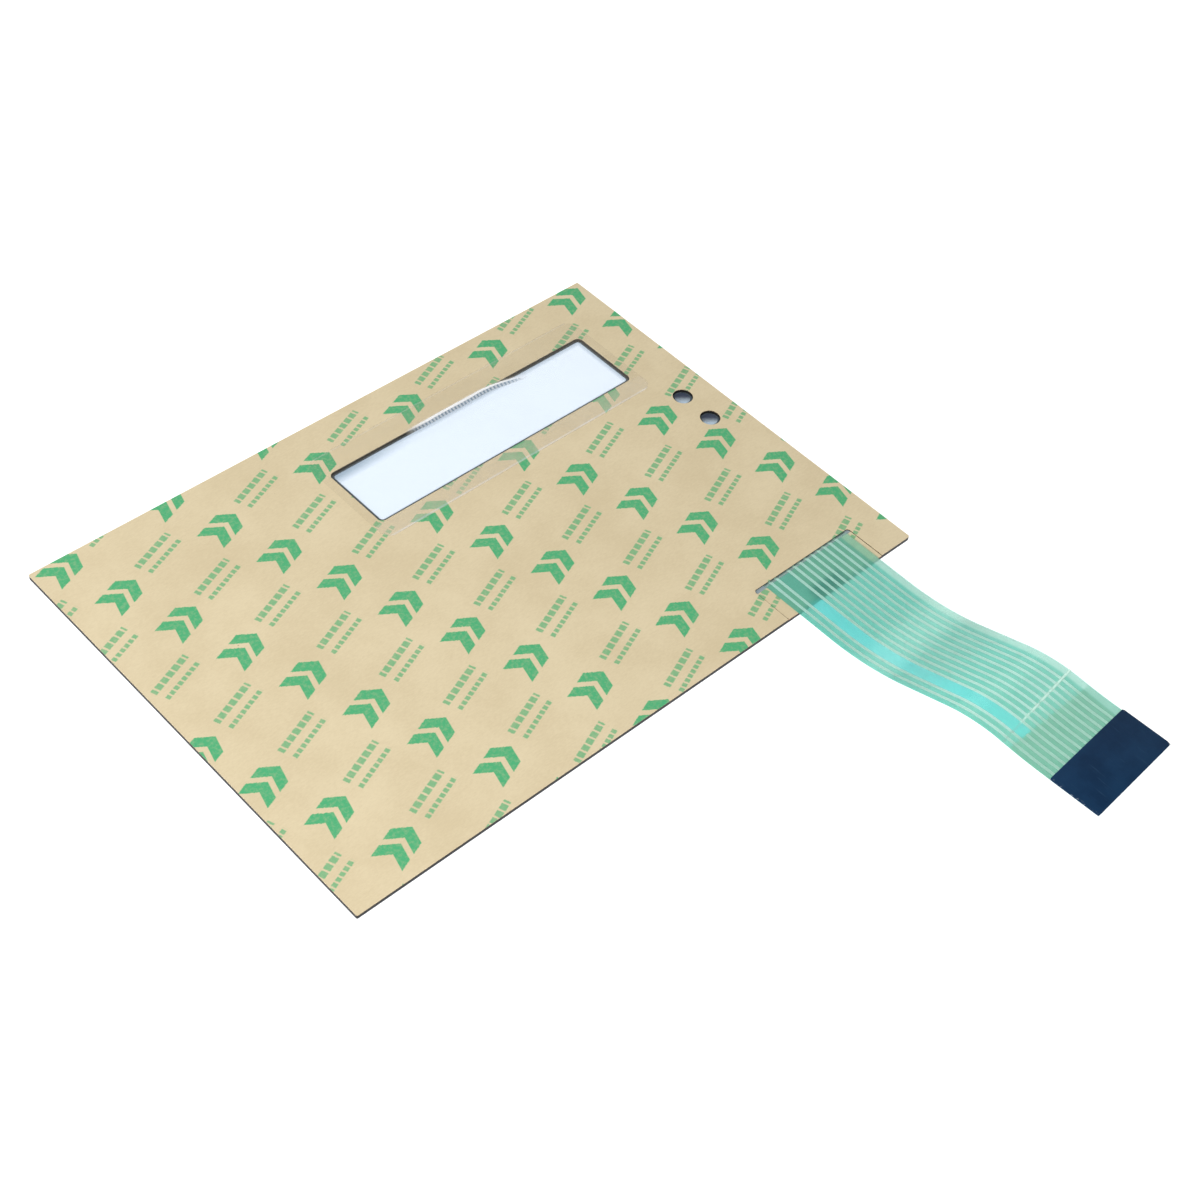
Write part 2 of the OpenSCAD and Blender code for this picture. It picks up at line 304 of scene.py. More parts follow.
@dataclass(frozen=True)
class LinerPaper:
    """Tan release paper with clouded fibres, a few specks and a printed pattern."""

    light: Colour = (0.70, 0.595, 0.395)
    dark: Colour = (0.615, 0.51, 0.325)
    fleck: Colour = (0.30, 0.22, 0.12)
    pattern: LinerPrint = LinerPrint()

    def material(self) -> Finish:
        """Builds the paper's finish.

        Returns:
            The material.
        """
        net = NodeNet.named("tan_release_paper")
        cloud = net.noise(38.0, 5.0, 0.62)
        fibre = net.noise(1.0, 3.0, 0.65, net.mapped((900.0, 2600.0, 900.0), math.radians(24)))
        tone = net.math("MULTIPLY_ADD", fibre, 0.45, net.times(cloud, 0.75))
        paper = net.mix(net.ramp(tone, 0.38, 0.82), self.light, self.dark)
        near = net.node("TexVoronoi", "Distance", {"Vector": net.place, "Scale": 95.0}, feature="F1")
        rare = net.parts(near.node.outputs["Color"])[0]
        specks = net.times(net.ramp(near, 0.015, 0.03, 1.0, 0.0), net.ramp(rare, 0.82, 0.86))
        paper = net.mix(net.times(specks, 0.55), paper, self.fleck)
        return net.solid(
            Base_Color=net.mix(self.pattern.mask(net), paper, self.pattern.ink),
            Roughness=net.ramp(tone, 0.3, 0.9, 0.48, 0.62),
            Specular_IOR_Level=0.22,
            Normal=net.bump(fibre, 0.00004, 0.35),
        )


@dataclass(frozen=True)
class SheetEdge:
    """An opaque or smoky layer that shows mostly at cut edges."""

    name: str
    light: Colour
    dark: Colour
    grain: float = 700.0
    roughness: float = 0.5
    metallic: float = 0.0
    shine: float = 0.3

    def material(self) -> Finish:
        """Builds the layer's finish.

        Returns:
            The material.
        """
        net = NodeNet.named(self.name)
        grain = net.noise(self.grain, 4.0, 0.6)
        tone = net.math("MULTIPLY_ADD", net.noise(30.0), 0.5, net.times(grain, 0.5))
        return net.solid(
            Base_Color=self.colour(net, net.ramp(tone, 0.3, 0.7)),
            Roughness=net.ramp(grain, 0.2, 0.8, self.roughness - 0.08, self.roughness + 0.08),
            Metallic=self.metallic,
            Specular_IOR_Level=self.shine,
            Normal=net.bump(grain, 0.00001, 0.5),
        )

    def colour(self, net: NodeNet, tone: Socket) -> Socket:
        """Gives the layer's colour in a tree, by the share of the darker tone."""
        return net.mix(tone, self.light, self.dark)


@dataclass(frozen=True)
class SpacerSheet(SheetEdge):
    """The black spacer, whose bared top is painted lighter as light reaching into the narrow slit and cuts: grey
    under the tail's slit and brown under the tab's cuts.
    """

    # Lighter colours painted on the bared top, standing in for light reaching into the narrow slit and cuts.
    lit_slit_floor: Colour = (0.30, 0.37, 0.40)
    lit_cut_floor: Colour = (0.55, 0.21, 0.10)
    slit_low: float = -61.6

    def colour(self, net: NodeNet, tone: Socket) -> Socket:
        """Adds the bared top's painted-light colours to the black of the edges.

        Args:
            net: The material's tree.
            tone: The share of the darker tone.

        Returns:
            The colour.
        """
        _, y, _ = net.spot()
        # The bared top takes the painted-light colours; the upright edges stay black.
        floor = net.mix(net.ramp(y, self.slit_low - 0.3, self.slit_low + 0.3), self.lit_cut_floor, self.lit_slit_floor)
        return net.mix(net.upright(), floor, super().colour(net, tone))


@dataclass(frozen=True)
class SilverInk(SheetEdge):
    """The printed silver, greener where it nears the stiffener."""

    end_light: Colour = (0.58, 0.76, 0.66)
    end_dark: Colour = (0.50, 0.67, 0.58)

    def colour(self, net: NodeNet, tone: Socket) -> Socket:
        """Adds the end's tones to the plain silver.

        Args:
            net: The material's tree.
            tone: The share of the darker tone.

        Returns:
            The colour.
        """
        _, y, _ = net.spot()
        near = net.ramp(y, COAT_END_Y - 1.0, COAT_END_Y + 5.0, 1.0, 0.0)
        return net.mix(near, super().colour(net, tone), net.mix(tone, self.end_light, self.end_dark))


@dataclass(frozen=True)
class OverlayClear:
    """The clear front film, faintly blue, with a fine matt grain, smoky cut edges and painted shadow along the
    window's edges.
    """

    tint: Colour = (0.845, 0.885, 0.93)
    # The colour of the painted shadow along the window's edges.
    shade: Colour = (0.52, 0.60, 0.67)
    haze: Colour = (0.80, 0.86, 0.92)
    edge: Colour = (0.04, 0.042, 0.045)

    def material(self) -> Finish:
        """Builds the film's finish.

        Returns:
            The material.
        """
        net = NodeNet.named("clear_overlay_film")
        grain = net.noise(2600.0)
        cut = net.upright()
        gloss = net.principled(
            Base_Color=net.mix(cut, self.haze, self.edge),
            Roughness=net.ramp(grain, 0.2, 0.8, 0.38, 0.48),
            Specular_IOR_Level=0.3,
            Normal=net.bump(grain, 0.000006, 0.15),
        )
        share = net.most(net.ramp(net.noise(45.0, 3.0), 0.3, 0.75, 0.03, 0.06), net.times(cut, 0.92))
        return net.film(share, net.mix(self.painted_window_shadow(net), self.tint, self.shade), gloss)

    def painted_window_shadow(self, net: NodeNet) -> Socket:
        """Paints shadow into the tint along the window's edges, where the walls shade the floor seen through, most
        of all in its -X, +Y corner.

        Args:
            net: The material's tree.

        Returns:
            The share of painted shadow.
        """
        x, y, _ = net.spot()
        past = [
            net.less(net.off(value, middle), size / 2)
            for value, middle, size in zip((x, y), WINDOW_CENTRE, WINDOW_SIZE)
        ]
        # Painted shadow within about 2 mm of each edge of the window.
        rim = net.ramp(net.most(*past), -2.4, -0.4, 0.0, 0.5)
        top = WINDOW_CENTRE[1] + WINDOW_SIZE[1] / 2
        # Deeper painted shadow below the +Y edge, strongest towards the -X end.
        corner = net.times(net.ramp(y, top - 5.0, top - 0.2), net.ramp(x, -14.0, 26.0, 0.9, 0.0))
        return net.most(rim, corner)


@dataclass(frozen=True)
class LampTint:
    """Translucent ink behind a lamp hole, with a painted shadow of the hole's far wall that fades from navy to
    pale across its window.
    """

    centre: Pair
    pale: Colour = (0.70, 0.81, 0.87)
    # The darkest colour of the painted shadow, on the hole's far side.
    navy: Colour = (0.055, 0.07, 0.11)
    tint: Colour = (0.86, 0.91, 0.97)
    # The way the painted shadow deepens, towards +X and +Y.
    lean: Pair = (0.62, 0.78)

    def material(self) -> Finish:
        """Builds the ink's finish with its painted shadow.

        Returns:
            The material.
        """
        net = NodeNet.named("lamp_window_ink_and_shadow")
        leaning = (
            net.times(net.less(value, middle), lean)
            for value, middle, lean in zip(net.spot(), self.centre, self.lean)
        )
        reach = net.math("ADD", *leaning)
        # Painted shadow: dark on the hole's far side and pale on its near side; the ink is also more opaque where
        # it is dark.
        painted_wall_shadow = net.ramp(net.math("MULTIPLY_ADD", net.noise(1400.0), 0.6, reach), -1.6, 1.9)
        colour = net.mix(painted_wall_shadow, self.pale, self.navy)
        body = net.principled(Base_Color=colour, Roughness=0.45, Specular_IOR_Level=0.3)
        return net.film(net.math("MULTIPLY_ADD", painted_wall_shadow, 0.45, 0.5), self.tint, body)


@dataclass(frozen=True)
class WindowHaze:
    """The loose film over the window: clear over the opening, cloudy where it lies on the liner, with a white line
    on its fold that is partly stress whitening and partly a painted highlight, and a painted shade band just below
    the fold.
    """

    tint: Colour = (0.995, 0.997, 1.0)
    milk: Colour = (0.86, 0.78, 0.61)
    # The colour of the fold's white line, partly stress whitening and partly a painted highlight, and of the pale
    # edge lines.
    white: Colour = (0.95, 0.96, 0.97)
    # The colour of the painted shade band just below the fold.
    fold_shade_colour: Colour = (0.26, 0.34, 0.42)
    lap_low: float = 28.4
    edge_low: float = 22.35
    edge_high: float = 61.15
    fold_y: float = 53.1
    fold_half: float = 0.5
    fold_ends: Pair = (13.0, 63.0)
    fold_fade: float = 12.0
    fold_drift: float = 2.6
    drift_run: Pair = (44.0, 63.0)
    tick_step: float = 1.3

    def material(self) -> Finish:
        """Builds the film's finish.

        Returns:
            The material.
        """
        net = NodeNet.named("loose_window_film")
        x, y, _ = net.spot()
        cloud = net.noise(140.0, 4.0, 0.6)
        lap = net.ramp(y, self.lap_low - 0.8, self.lap_low + 0.1, 1.0, 0.0)
        wave = net.times(net.less(net.noise(90.0, 1.0), 0.5), 0.7)
        drift = net.math("MULTIPLY_ADD", net.ramp(x, *self.drift_run), self.fold_drift, wave)
        level = net.math("ADD", y, drift)
        start, end = self.fold_ends
        reach = net.times(
            net.ramp(x, start, start + self.fold_fade), net.ramp(x, end - self.fold_fade, end, 1.0, 0.0)
        )
        # White line along the fold, partly stress whitening and partly a painted highlight.
        fold = net.times(net.band(level, self.fold_y, self.fold_half, 0.3), reach, 0.85)
        tick = net.ramp(net.math("PINGPONG", x, self.tick_step / 2), 0.1, 0.5)
        # A painted shade band just below the fold, hatched across X.
        fold_shade = net.band(level, self.fold_y - 0.85, 0.6, 0.35)
        fold_shade = net.times(fold_shade, reach, net.ramp(tick, 0.0, 1.0, 0.72, 0.84))
        low = net.times(net.band(y, self.edge_low, 0.3, 0.2), 0.16)
        high = net.times(net.band(y, self.edge_high, 0.25, 0.2), 0.10)
        pale = net.most(fold, low, high)
        milky = net.times(lap, net.ramp(cloud, 0.25, 0.75, 0.14, 0.26))
        # The milky tone turns white in the fold's painted highlight and along the pale edge lines.
        tone = net.mix(net.ramp(pale, 0.04, 0.12), self.milk, self.white)
        # The painted shade band's colour, broken up by the hatch.
        hatched_fold_shade = net.mix(net.times(tick, 0.45), self.fold_shade_colour, self.white)
        body = net.principled(
            Base_Color=net.mix(net.ramp(net.less(fold_shade, fold), 0.0, 0.3), tone, hatched_fold_shade),
            Roughness=net.ramp(cloud, 0.2, 0.8, 0.10, 0.2),
            Specular_IOR_Level=0.5,
        )
        return net.film(net.most(milky, pale, net.glance(0.01, 0.35), fold_shade), self.tint, body)


@dataclass(frozen=True)
class TailFilm:
    """Clear glossy circuit film with a whitened crease near its end, partly stress whitening and partly a painted
    highlight.
    """

    tint: Colour = (0.92, 0.98, 0.97)
    # Also the colour of the crease's white line, partly a painted highlight.
    white: Colour = (0.74, 0.97, 0.88)
    crease_y: float = -144.6
    crease_skew: float = 0.128
    middle_x: float = 79.3
    worn_y: float = -120.0

    def material(self) -> Finish:
        """Builds the film's finish.

        Returns:
            The material.
        """
        net = NodeNet.named("clear_circuit_film")
        x, y, _ = net.spot()
        cloud = net.noise(120.0, 4.0, 0.6)
        skewed = net.math("MULTIPLY_ADD", net.less(x, self.middle_x), -self.crease_skew, y)
        # White line across the crease, partly stress whitening and partly a painted highlight, broken up by noise
        # and fainter towards -X.
        line = net.band(skewed, self.crease_y, 0.34, 0.3)
        broken = net.ramp(net.noise(420.0), 0.30, 0.5, 0.35, 1.0)
        crease_highlight = net.times(line, broken, net.times(net.ramp(x, 64.0, 69.0, 0.2, 1.0), 0.7))
        body = net.principled(
            Base_Color=self.white,
            Metallic=net.ramp(crease_highlight, 0.05, 0.25, 1.0, 0.0),
            Roughness=net.ramp(cloud, 0.25, 0.75, 0.12, 0.2),
            Normal=net.bump(cloud, 0.00002, 0.3),
        )
        worn = net.ramp(y, self.worn_y - 8.0, self.worn_y + 8.0, 0.3, 1.0)
        return net.film(net.most(net.times(net.glance(0.06, 0.6), worn), crease_highlight), self.tint, body)


@dataclass(frozen=True)
class InkTone:
    """One tone of the insulating ink: the colour it shows and the colour it lets through."""

    body: Colour
    tint: Colour


@dataclass(frozen=True)
class TailCoat:
    """Translucent teal insulating ink: paler at its margin, cyan in the wide gap, greener on tab and end; its main
    tone holds painted shade from the traces, its tab tones painted light, and a patch near the panel's edge a
    painted shadow.
    """

    # The main tone, darkened with painted shade of the traces it lies among.
    common: InkTone = InkTone((0.15, 0.63, 0.56), (0.63, 0.89, 0.83))
    margin: InkTone = InkTone((0.52, 0.79, 0.72), (0.88, 0.95, 0.92))
    bare: InkTone = InkTone((0.22, 0.80, 0.72), (0.56, 0.91, 0.95))
    end: InkTone = InkTone((0.265, 0.595, 0.45), (0.75, 0.87, 0.81))
    # The darker tone of the painted shadow near the panel's edge on the tab.
    tab_shadow: InkTone = InkTone((0.06, 0.42, 0.35), (0.36, 0.66, 0.58))
    # A lighter tone of painted light where the tail lies on the tab, making up for the shade there.
    laid: InkTone = InkTone((0.38, 0.82, 0.65), (0.70, 0.90, 0.80))
    # The margin's tone on the tab, lighter still with painted light.
    hem: InkTone = InkTone((0.74, 0.97, 0.76), (0.94, 0.99, 0.92))
    gap_x: float = 63.51
    gap_half: float = 2.04
    margin_x: float = 88.3
    tab_shadow_y: float = -71.8
    tab_shadow_half: float = 2.4
    tab_shadow_x: float = 71.5
    tab_y: float = -74.0

    def material(self) -> Finish:
        """Builds the ink's finish.

        Returns:
            The material.
        """
        net = NodeNet.named("teal_insulating_ink")
        x, y, _ = net.spot()
        cloud = net.noise(260.0, 4.0, 0.6)
        end = net.ramp(y, COAT_END_Y - 0.4, COAT_END_Y + 0.4, 1.0, 0.0)
        gap = net.times(
            net.band(x, self.gap_x, self.gap_half, 0.12),
            net.ramp(end, 0.0, 1.0, 1.0, 0.0),
            net.ramp(y, COAT_END_Y, COAT_END_Y + 30.0, 0.7, 1.0),
        )
        # A painted shadow near the panel's edge on the tab, its edge wobbled by noise.
        blurred = net.math("MULTIPLY_ADD", net.noise(170.0), 3.0, y)
        tab_shadow = net.band(blurred, self.tab_shadow_y + 1.5, self.tab_shadow_half, 1.6)
        laid = net.ramp(y, self.tab_y - 1.5, self.tab_y + 1.5)
        margin = net.ramp(x, self.margin_x - 0.5, self.margin_x + 0.5)
        colour, tint = self.common.body, self.common.tint
        # Tones laid over the main one in turn; those on the tab hold painted light, and the patch near the panel's
        # edge a painted shadow.
        for mask, tone in (
            (net.ramp(y, COAT_END_Y + 2.0, COAT_END_Y + 34.0, 0.4, 0.0), self.end),
            (laid, self.laid),
            (margin, self.margin),
            (net.times(margin, laid), self.hem),
            (net.times(end, net.ramp(margin, 0.0, 1.0, 0.95, 0.3)), self.end),
            (net.times(gap, net.ramp(laid, 0.0, 1.0, 1.0, 0.35)), self.bare),
            (net.times(tab_shadow, net.band(x, self.tab_shadow_x, 6.5, 2.5), 0.7), self.tab_shadow),
        ):
            colour, tint = net.mix(mask, colour, tone.body), net.mix(mask, tint, tone.tint)
        rough = net.ramp(cloud, 0.25, 0.75, 0.38, 0.48)
        body = net.principled(Base_Color=colour, Roughness=rough, Specular_IOR_Level=0.25)
        thin = net.ramp(cloud, 0.25, 0.75, 0.36, 0.44)
        # The ink is more opaque on the tab, where its painted light shows more, and at the end.
        return net.film(net.math("MULTIPLY_ADD", net.most(laid, end), 0.17, thin), tint, body)


@dataclass(frozen=True)
class StiffenerPlate:
    """Navy satin plate with faint lengthwise rub marks and a painted highlight along its left edge."""

    light: Colour = (0.0075, 0.035, 0.088)
    dark: Colour = (0.0045, 0.023, 0.063)
    rub: Colour = (0.030, 0.075, 0.135)
    # The colour of the painted highlight along the plate's left edge.
    edge_glint: Colour = (0.30, 0.36, 0.42)
    turn: float = math.radians(3.8)
    left_edge: float = 45.62

    def material(self) -> Finish:
        """Builds the plate's finish.

        Returns:
            The material.
        """
        net = NodeNet.named("navy_stiffener")
        across, _, _ = net.spot(-self.turn)
        streak = net.noise(1.0, 3.0, place=net.mapped((1500.0, 130.0, 500.0), math.radians(-16)))
        base = net.mix(net.ramp(net.noise(90.0, 4.0, 0.6), 0.3, 0.7), self.light, self.dark)
        colour = net.mix(net.ramp(streak, 0.60, 0.80, 0.0, 0.5), base, self.rub)
        # A painted highlight along the left edge, broken up by noise.
        glint_breakup = net.ramp(net.noise(1300.0, 3.0, 0.6), 0.56, 0.68)
        rim = net.times(net.band(across, self.left_edge + 0.25, 0.4, 0.25), glint_breakup, 0.6)
        return net.solid(
            Base_Color=net.mix(rim, colour, self.edge_glint),
            Roughness=net.ramp(streak, 0.3, 0.8, 0.42, 0.56),
            Specular_IOR_Level=0.10,
            Normal=net.bump(streak, 0.00001, 0.4),
        )


class Work:
    """A piece on the bench, with the hand tools that model it, dress it and fix it to the keypad."""

    def __init__(self, name: str, source: Piece | None = None) -> None:
        """Takes up a piece.

        Args:
            name: The piece's name.
            source: What it copies, with a mesh of its own, or none for the primitive just added.
        """
        if source:
            self.piece = bpy.data.objects.new(name, source.data.copy())
            bpy.context.scene.collection.objects.link(self.piece)
        else:
            self.piece = bpy.context.object
        self.piece.name = self.piece.data.name = name

    @classmethod
    def plane(cls, name: str, size: Pair, centre: Sequence[float] = (0.0, 0.0, 0.0)) -> "Work":
        """Adds a level sheet, in millimetres.

        Args:
            name: The piece's name.
            size: Its size along X and Y.
            centre: Its middle.

        Returns:
            The new piece.
        """
        cls.put_down()
        bpy.ops.mesh.primitive_plane_add(size=1.0, location=metres(*centre))
        work = cls(name)
        work.piece.scale = (*metres(*size), 1.0)
        work.settle()
        return work

    @classmethod
    def from_node(cls, node: str, name: str) -> "Work":
        """Copies a solid of the frame as one joined mesh.

        Args:
            node: The solid's node.
            name: The copy's name.

        Returns:
            The new piece.
        """
        work = cls(name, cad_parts[node])
        paint(work.piece)
        work.take()
        if work.piece.data.has_custom_normals:
            bpy.ops.mesh.customdata_custom_splitnormals_clear()
        with work.editing(whole=True):
            bpy.ops.mesh.remove_doubles(threshold=MERGE)
        return work

    @staticmethod
    def put_down() -> None:
        """Leaves edit mode and selects nothing."""
        if bpy.context.mode != "OBJECT":
            bpy.ops.object.mode_set(mode="OBJECT")
        bpy.ops.object.select_all(action="DESELECT")

    def take(self) -> None:
        """Makes the piece the only one that is selected, and active."""
        self.put_down()
        self.piece.select_set(True)
        bpy.context.view_layer.objects.active = self.piece

    def settle(self) -> None:
        """Puts the piece's place, turn and size into its mesh."""
        self.take()
        bpy.ops.object.transform_apply(location=True, rotation=True, scale=True)

    @contextmanager
    def editing(self, kind: str = "VERT", whole: bool = False) -> Iterator[None]:
        """Opens the piece in edit mode.

        Args:
            kind: What is selected: VERT, EDGE or FACE.
            whole: Whether all of it is selected at first, or nothing.
        """
        self.take()
        bpy.ops.object.mode_set(mode="EDIT")
        bpy.ops.mesh.select_mode(type=kind)
        bpy.ops.mesh.select_all(action="SELECT" if whole else "DESELECT")
        yield
        bpy.ops.object.mode_set(mode="OBJECT")

    def pick(self, kind: str, test: Callable[[object], bool]) -> None:
        """Selects some of the mesh in edit mode.

        Args:
            kind: What is tested: verts, edges or faces.
            test: The test on one of them.
        """
        mesh = bmesh.from_edit_mesh(self.piece.data)
        for item in [item for item in getattr(mesh, kind) if test(item)]:
            item.select_set(True)
        mesh.select_flush_mode()
        bmesh.update_edit_mesh(self.piece.data)

    def modify(self, kind: str, **settings: object) -> None:
        """Adds a modifier and applies it.

        Args:
            kind: The modifier's type.
            settings: Its properties.
        """
        self.take()
        modifier = self.piece.modifiers.new(kind.lower(), kind)
        for key, value in settings.items():
            setattr(modifier, key, value)
        bpy.ops.object.modifier_apply(modifier=modifier.name)

    def turn_outward(self) -> None:
        """Turns every face of the closed piece outwards."""
        with self.editing("FACE", whole=True):
            bpy.ops.mesh.normals_make_consistent(inside=False)

    def thicken(self, thickness: float) -> None:
        """Gives a sheet its thickness in millimetres, upwards."""
        self.modify("SOLIDIFY", thickness=thickness * MM, offset=1.0)
        self.turn_outward()

    def round_off(self, radius: float) -> None:
        """Rounds a sheet's corners by a radius in millimetres."""
        with self.editing(whole=True):
            bpy.ops.mesh.bevel(offset=radius * MM, segments=8, affect="VERTICES", offset_type="OFFSET")

    def inset(self, thickness: float, shift: Pair) -> None:
        """Insets a sheet, in edit mode, and shifts its middle, in millimetres."""
        bpy.ops.mesh.inset(thickness=thickness * MM)
        bpy.ops.transform.translate(value=metres(*shift, 0.0))

    def split(self, first: Finish, second: Finish, test: Callable[[bpy.types.MeshPolygon], bool]) -> None:
        """Dresses the piece in two finishes.

        Args:
            first: The finish of most faces.
            second: The finish of the faces that pass the test.
            test: The test on one face.
        """
        paint(self.piece, first, second)
        for face in self.piece.data.polygons:
            face.material_index = int(test(face))

    def fix(self, slot: Slot, *nodes: str, angle: float = 28.0) -> None:
        """Shades the piece smooth, and lets it ride on the keypad in place of solids.

        Args:
            slot: Not used; the slot that its finish belongs to.
            nodes: The solids that it stands for.
            angle: The angle past which edges stay sharp, in degrees, or 0 to leave it flat.
        """
        piece = self.piece
        if angle:
            self.take()
            bpy.ops.object.shade_smooth_by_angle(angle=math.radians(angle))
        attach(piece, BODY)
        if nodes:
            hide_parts(*nodes)
        LOG.info("%s: %d faces", piece.name, len(piece.data.polygons))


@dataclass
class Station:
    """A place on the tail's course, with its forward, sideways and upward directions, in millimetres."""

    point: Vector
    forward: Vector
    side: Vector
    up: Vector

    def turned(self, centre: Vector, axis: Vector, angle: float) -> "Station":
        """Turns this station.

        Args:
            centre: A point that stays in place.
            axis: The direction that it turns about.
            angle: The turn in radians.

        Returns:
            The turned station.
        """
        turn = Matrix.Rotation(angle, 3, axis)
        spot = centre + turn @ (self.point - centre)
        return Station(spot, turn @ self.forward, turn @ self.side, turn @ self.up)


@dataclass(frozen=True)
class Step:
    """A stretch of the tail's course: a length, or a radius and an angle in degrees."""

    move: Move
    size: float
    angle: float = 0.0
    cuts: int = 1

    def walk(self, start: Station) -> Station:
        """Follows this step.

        Args:
            start: The station that it starts at.

        Returns:
            The station at its end.
        """
        if self.move is Move.RUN:
            return Station(start.point + start.forward * self.size, start.forward, start.side, start.up)
        return start.turned(*self.pivot(start), math.radians(self.angle))

    def pivot(self, start: Station) -> tuple[Vector, Vector]:
        """Finds what a bend or swing turns about.

        Args:
            start: The station that it starts at.

        Returns:
            The centre and the axis.
        """
        inward = start.up if self.move is Move.BEND else start.side
        axis = -start.side if self.move is Move.BEND else start.up
        return start.point + inward * math.copysign(self.size, self.angle), axis

    def sweep(self, start: Station) -> None:
        """Carries the selected rim of the edited mesh along this step.

        Args:
            start: The station that it starts at.
        """
        if self.move is Move.RUN:
            stride = tuple(start.forward * (self.size * MM / self.cuts))
            for _ in range(self.cuts):
                bpy.ops.mesh.extrude_region_move(TRANSFORM_OT_translate={"value": stride})
            return
        centre, axis = self.pivot(start)
        turn = -math.radians(self.angle)
        bpy.ops.mesh.spin(steps=self.cuts, angle=turn, center=tuple(centre * MM), axis=tuple(axis))


@dataclass
class LinerSheet:
    """The printed release liner and its tab under the tail."""

    paper: LinerPaper = LinerPaper()
    nodes: tuple[str, ...] = ("release_liner", "liner_tab")

    def build(self) -> None:
        """Dresses the liner and its tab in one continuous print."""
        finish = self.paper.material()
        for node in self.nodes:
            paint_node(node, finish)


@dataclass
class Laminate:
    """The films, inks and adhesives between the overlay and the liner."""

    layers: dict[str, SheetEdge] = field(
        default_factory=lambda: {
            "overlay_print": SheetEdge(
                "dark_overlay_ink", (0.0180, 0.0235, 0.0325), (0.0150, 0.0195, 0.0280), 900.0, 0.55
            ),
            "key_print": SheetEdge("pale_key_ink", (0.50, 0.54, 0.57), (0.43, 0.47, 0.50), 1100.0, 0.55),
            "overlay_adhesive": SheetEdge(
                "dark_overlay_adhesive", (0.020, 0.021, 0.023), (0.011, 0.012, 0.014), shine=0.15
            ),
            "front_circuit_film": SheetEdge(
                "smoky_film_edge", (0.05, 0.053, 0.053), (0.03, 0.033, 0.034), 500.0, 0.4, shine=0.15
            ),
            "row_silver": SheetEdge(
                "row_silver_ink", (0.62, 0.62, 0.60), (0.48, 0.48, 0.47), 1800.0, 0.42, 0.6
            ),
            "spacer": SpacerSheet("black_spacer", (0.016, 0.016, 0.016), (0.009, 0.009, 0.010), shine=0.15),
            "bridge_dots": SheetEdge(
                "bridging_silver", (0.40, 0.40, 0.40), (0.28, 0.28, 0.29), 1800.0, 0.5, 0.5
            ),
            "rear_adhesive": SheetEdge(
                "amber_adhesive", (0.12, 0.07, 0.033), (0.07, 0.04, 0.02), 400.0, 0.4, shine=0.15
            ),
            "tab_adhesive": SheetEdge(
                "amber_tab_adhesive", (0.42, 0.16, 0.08), (0.27, 0.10, 0.05), 400.0, 0.32
            ),
        }
    )

    def build(self) -> None:
        """Dresses each inner layer."""
        for node, edge in self.layers.items():
            paint_node(node, edge.material())


@dataclass
class FrontFace:
    """The clear overlay, the ink behind the lamp holes with its painted shadow, and the ink border in the window,
    in millimetres.
    """

    clear: OverlayClear = OverlayClear()
    border_ink: SheetEdge = SheetEdge("dark_border_ink", (0.085, 0.11, 0.13), (0.06, 0.08, 0.1), 900.0, 0.5)
    lamp_x: float = 94.0
    lamp_ys: Pair = (12.45, 0.15)
    lamp_d: float = 6.5
    lens_inset: float = 0.8
    lens_shift: Pair = (0.4, 0.36)
    window_r: float = 2.0
    border: float = 1.0
    border_shift: Pair = (0.45, 0.45)
    ink_z: float = 0.25
    ink_t: float = 0.02

    def build(self) -> None:
        """Dresses the overlay, and prints the lamp windows and the border."""
        self.overlay()
        ink = self.border_ink.material()
        self.window_border(ink)
        first = self.lamp_window("lamp_window_high", self.lamp_ys[0])
        second = Work("lamp_window_low", first.piece)
        with second.editing(whole=True):
            bpy.ops.transform.translate(value=metres(0.0, self.lamp_ys[1] - self.lamp_ys[0], 0.0))
        for work, y in zip((first, second), self.lamp_ys):
            centre = Vector((self.lamp_x, y)) * MM
            lens = LampTint((self.lamp_x, y)).material()
            work.split(ink, lens, lambda face: (face.center.xy - centre).length < self.lamp_d / 4 * MM)
            work.fix(Slot.DARK_PRINT)

    def overlay(self) -> None:
        """Models the overlay film a hair thinner, so that the ink behind it shows through."""
        work = Work.from_node("overlay_film", "clear_overlay")
        with work.editing():
            work.pick("verts", lambda v: v.co.z > self.ink_z * MM / 2)
            bpy.ops.transform.translate(value=metres(0.0, 0.0, -HAIR))
        paint(work.piece, self.clear.material())
        work.fix(Slot.CLEAR_FILM, "overlay_film")

    def window_border(self, ink: Finish) -> None:
        """Prints a narrow frame just inside the window, a little off centre.

        Args:
            ink: Its material.
        """
        work = Work.plane("window_border", WINDOW_SIZE, (*WINDOW_CENTRE, self.ink_z))
        work.round_off(self.window_r)
        with work.editing("FACE", whole=True):
            work.inset(self.border, self.border_shift)
            bpy.ops.mesh.delete(type="FACE")
        work.thicken(self.ink_t)
        paint(work.piece, ink)
        work.fix(Slot.DARK_PRINT, angle=0.0)

    def lamp_window(self, name: str, y: float) -> Work:
        """Models one inked disc with its lens printed off centre.

        Args:
            name: The piece's name.
            y: Its place along Y.

        Returns:
            The new piece.
        """
        Work.put_down()
        spot = metres(self.lamp_x, y, self.ink_z)
        bpy.ops.mesh.primitive_circle_add(
            vertices=64, radius=self.lamp_d / 2 * MM, fill_type="NGON", location=spot
        )
        work = Work(name)
        work.settle()
        with work.editing("FACE", whole=True):
            work.inset(self.lens_inset, self.lens_shift)
        work.thicken(self.ink_t)
        return work


